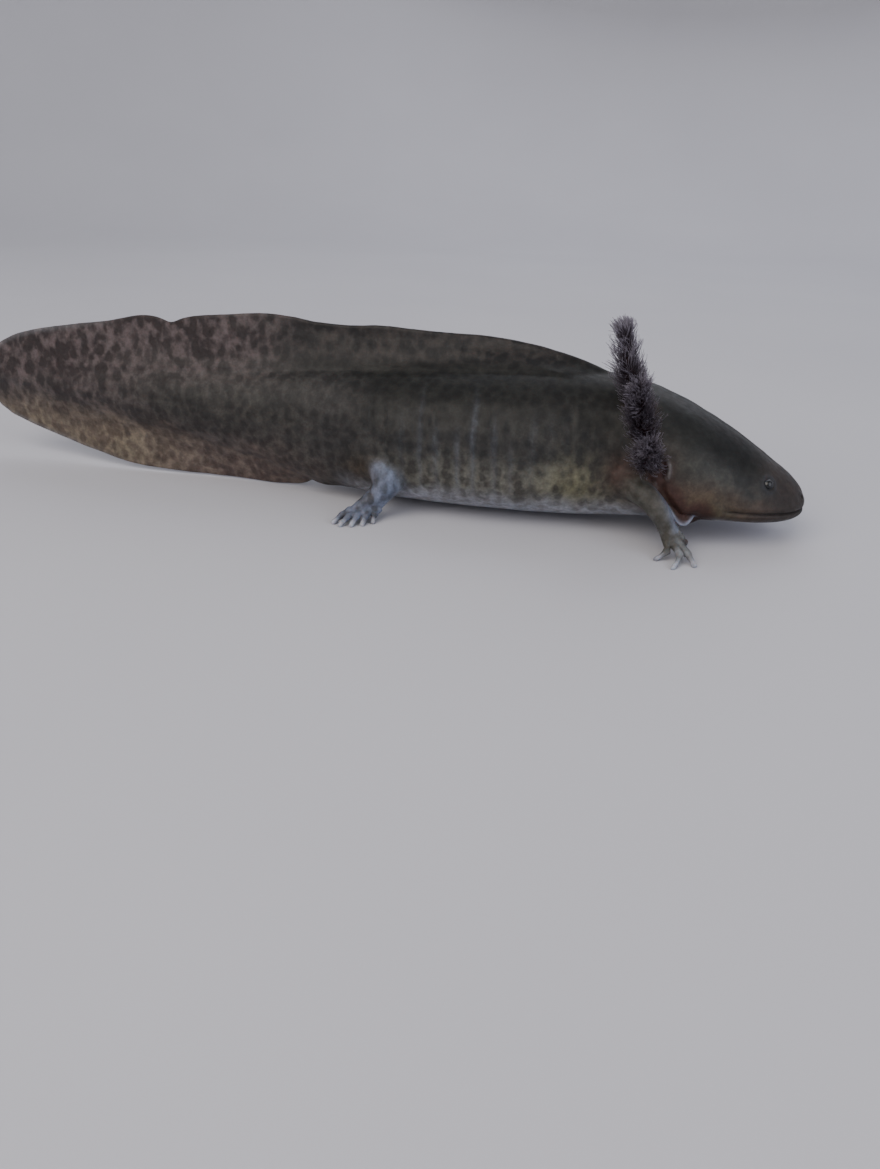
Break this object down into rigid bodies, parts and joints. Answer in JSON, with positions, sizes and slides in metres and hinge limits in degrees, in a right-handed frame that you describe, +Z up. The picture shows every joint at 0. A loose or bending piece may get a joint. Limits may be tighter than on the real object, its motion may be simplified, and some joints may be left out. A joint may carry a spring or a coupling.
{
  "type": "axolotl",
  "caption": "Life-size axolotl standing on four feet, with feathery external gills, costal grooves and a finned tail.",
  "frame": {"origin": "on the floor under the middle of the bounding box, half way between snout and tail tip", "axes": "+X towards the snout, +Y towards the animal's left side, +Z up"},
  "size_m": [0.2297, 0.0667, 0.0536],
  "materials": {
    "skin_olive": "moist smooth skin, dark olive",
    "skin_tail": "moist smooth skin, pinkish brown with dark blotches",
    "skin_foot": "moist translucent grey-olive skin",
    "gill_maroon": "soft wet gill tissue, dark maroon",
    "eye_dark": "clear wet cornea over a dark eye"
  },
  "bodies": {
    "root": {"head": "skin_olive", "torso": "skin_olive", "tail": "skin_tail", "dorsal_fin": "skin_tail", "tail_fin_upper": "skin_tail", "tail_fin_lower": "skin_tail", "eye_left": "eye_dark", "eye_right": "eye_dark", "gill_upper_left": "gill_maroon", "gill_middle_left": "gill_maroon", "gill_lower_left": "gill_maroon", "gill_upper_right": "gill_maroon", "gill_middle_right": "gill_maroon", "gill_lower_right": "gill_maroon", "fore_leg_left": "skin_foot", "fore_foot_left": "skin_foot", "fore_leg_right": "skin_foot", "fore_foot_right": "skin_foot", "hind_leg_left": "skin_foot", "hind_foot_left": "skin_foot", "hind_leg_right": "skin_foot", "hind_foot_right": "skin_foot"}
  },
  "joints": []
}
